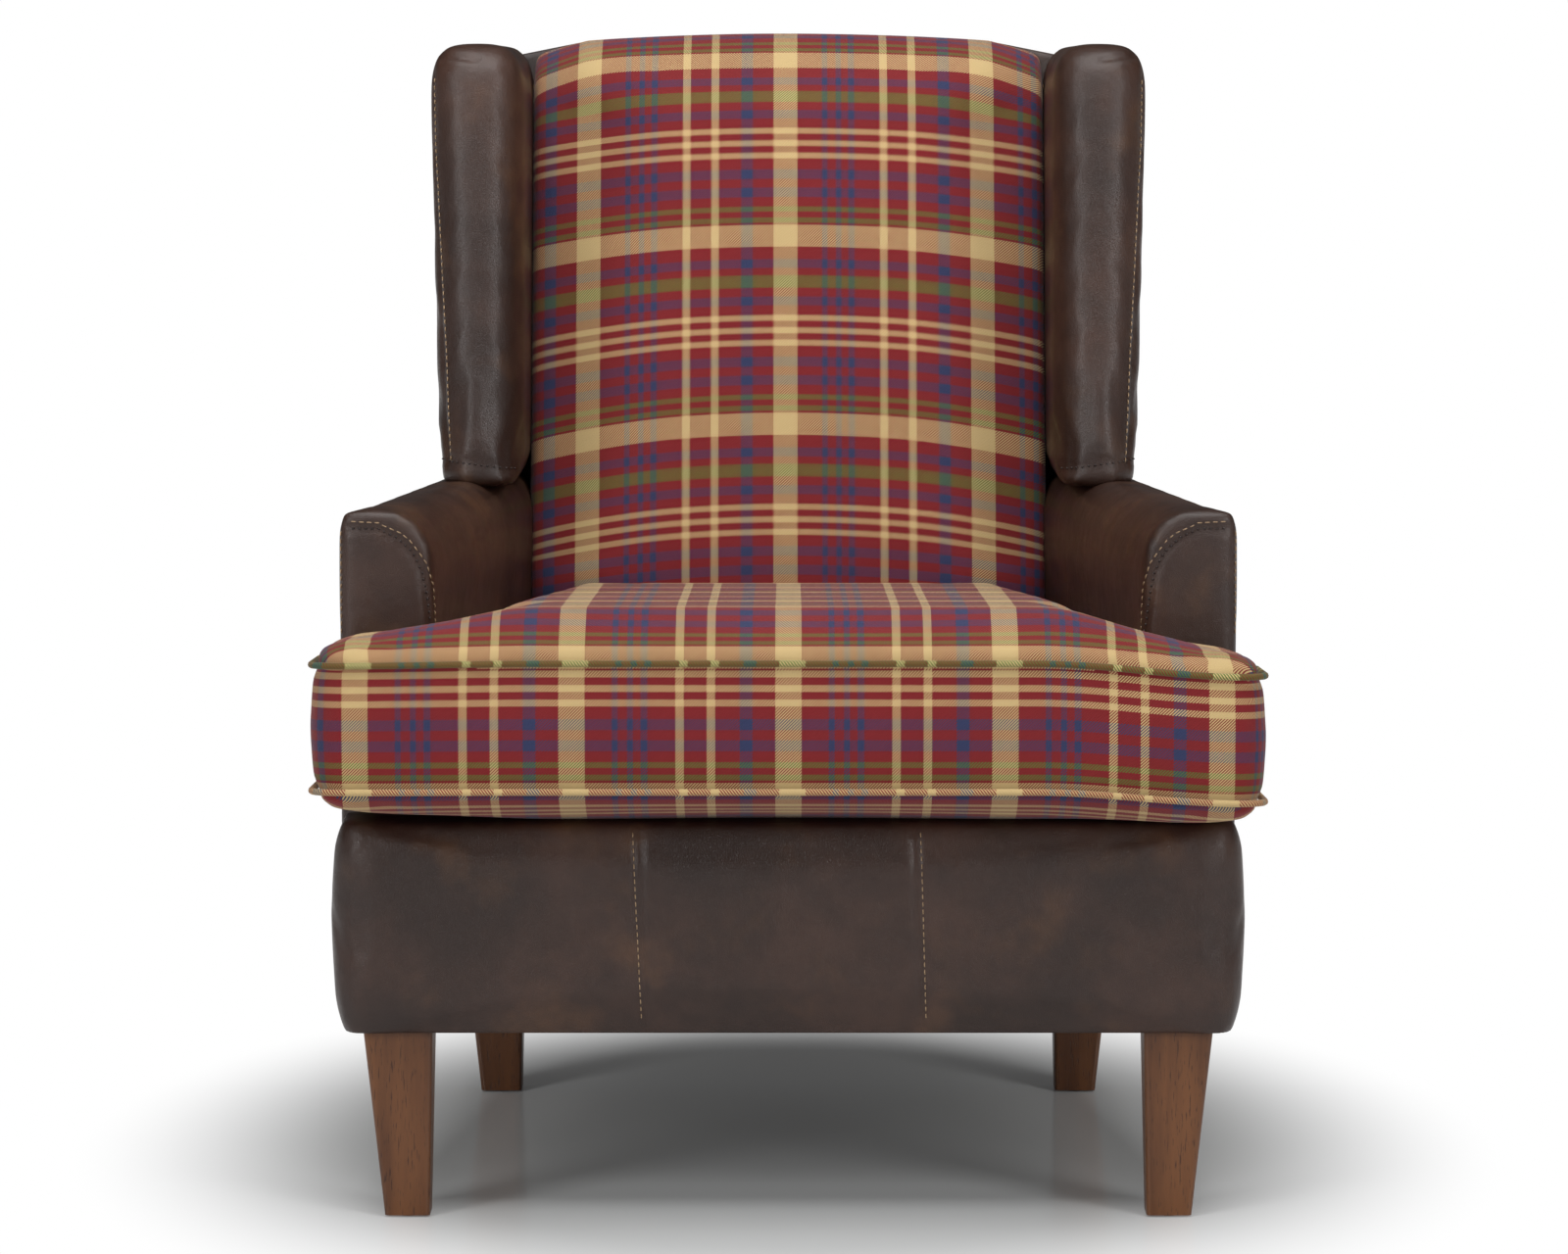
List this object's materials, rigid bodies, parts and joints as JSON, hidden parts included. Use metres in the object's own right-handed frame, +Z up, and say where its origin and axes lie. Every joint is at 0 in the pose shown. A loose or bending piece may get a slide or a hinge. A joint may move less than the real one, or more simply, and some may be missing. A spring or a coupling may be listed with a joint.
{
  "type": "fireside chair",
  "caption": "Upholstered wing-back fireside armchair with tapered square legs, a padded apron and a loose T-shaped piped seat cushion that pulls out forwards.",
  "frame": {"origin": "on the floor, under the middle of the chair's overall box", "axes": "+Z up, the sitter faces -Y, +X to the right of someone facing the chair's front"},
  "size_m": [0.78, 0.8616, 0.9718],
  "materials": {
    "leather": "satin aniline leather, dark brown",
    "tartan": "brushed wool tartan in red, cream, green and blue",
    "welt": "tartan piping cut on the bias",
    "leg_wood": "walnut-stained wood, satin",
    "frame_wood": "sawn hardwood",
    "foam": "upholstery foam",
    "steel": "plain steel",
    "glide_plastic": "moulded plastic",
    "webbing": "woven elastic webbing",
    "cambric": "black non-woven cambric",
    "zip_tape": "woven tape with coil teeth",
    "zip_brass": "stamped brass"
  },
  "bodies": {
    "frame": {"apron_left_panel": "leather", "apron_centre_panel": "leather", "apron_right_panel": "leather", "right_arm_cover": "leather", "left_arm_cover": "leather", "right_arm_facing": "leather", "left_arm_facing": "leather", "right_wing_cover": "leather", "left_wing_cover": "leather", "right_outer_arm_panel": "leather", "left_outer_arm_panel": "leather", "right_outer_wing_panel": "leather", "left_outer_wing_panel": "leather", "outer_back_panel": "leather", "inside_back_cover": "tartan", "front_right_leg": "leg_wood", "front_left_leg": "leg_wood", "rear_right_leg": "leg_wood", "rear_left_leg": "leg_wood", "front_rail": "frame_wood", "back_rail": "frame_wood", "right_side_rail": "frame_wood", "left_side_rail": "frame_wood", "right_arm_post": "frame_wood", "left_arm_post": "frame_wood", "right_arm_rail": "frame_wood", "left_arm_rail": "frame_wood", "right_back_post": "frame_wood", "left_back_post": "frame_wood", "back_top_rail": "frame_wood", "back_lower_rail": "frame_wood", "front_corner_blocks": "frame_wood", "right_wing_board": "frame_wood", "left_wing_board": "frame_wood", "apron_pad": "foam", "right_arm_pad": "foam", "left_arm_pad": "foam", "right_wing_pad": "foam", "left_wing_pad": "foam", "inside_back_pad": "foam", "seat_deck": "foam", "seat_springs": "steel", "spring_clips": "steel", "leg_bolts": "steel", "leg_nuts": "steel", "leg_glides": "glide_plastic", "back_webbing": "webbing", "dust_cover": "cambric"},
    "seat_cushion": {"cushion_top_panel": "tartan", "cushion_boxing_band": "tartan", "cushion_bottom_panel": "tartan", "cushion_core": "foam", "cushion_top_welt": "welt", "cushion_bottom_welt": "welt", "cushion_zip": "zip_tape"},
    "zip_slider": {"zip_slider": "zip_brass"}
  },
  "joints": [
    {"name": "cushion_slide", "type": "slide", "parent": "frame", "child": "seat_cushion", "axis": [0, -0.999, 0.0436], "range_m": [0, 0.6]},
    {"name": "zip_slide", "type": "slide", "parent": "seat_cushion", "child": "zip_slider", "axis": [1, 0, 0], "range_m": [0, 0.398]}
  ]
}
